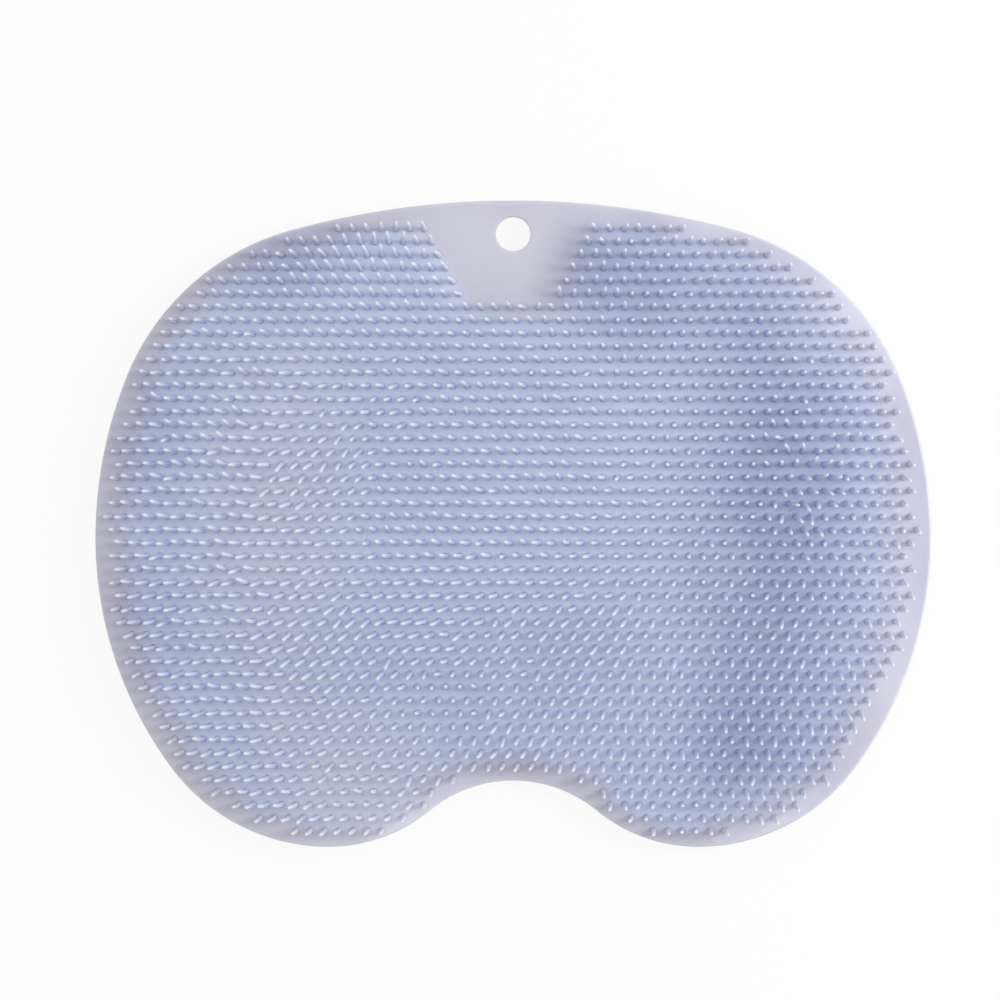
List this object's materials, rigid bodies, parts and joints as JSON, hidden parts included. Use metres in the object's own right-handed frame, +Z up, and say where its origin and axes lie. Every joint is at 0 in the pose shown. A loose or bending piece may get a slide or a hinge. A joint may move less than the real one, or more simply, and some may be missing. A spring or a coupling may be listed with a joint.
{
  "type": "bath brush",
  "caption": "Soft kidney-shaped bath brush mat, moulded in one piece: bristles on top, suction cups below and a hanging hole.",
  "frame": {"origin": "on the plane of the suction cup rims, under the middle of the mat", "axes": "+X across the two lobes, +Y towards the hanging hole, +Z up through the bristles"},
  "size_m": [0.3, 0.232, 0.017],
  "materials": {
    "soft_silicone": "satin, slightly translucent"
  },
  "bodies": {
    "root": {"bath_brush": "soft_silicone"}
  },
  "joints": []
}
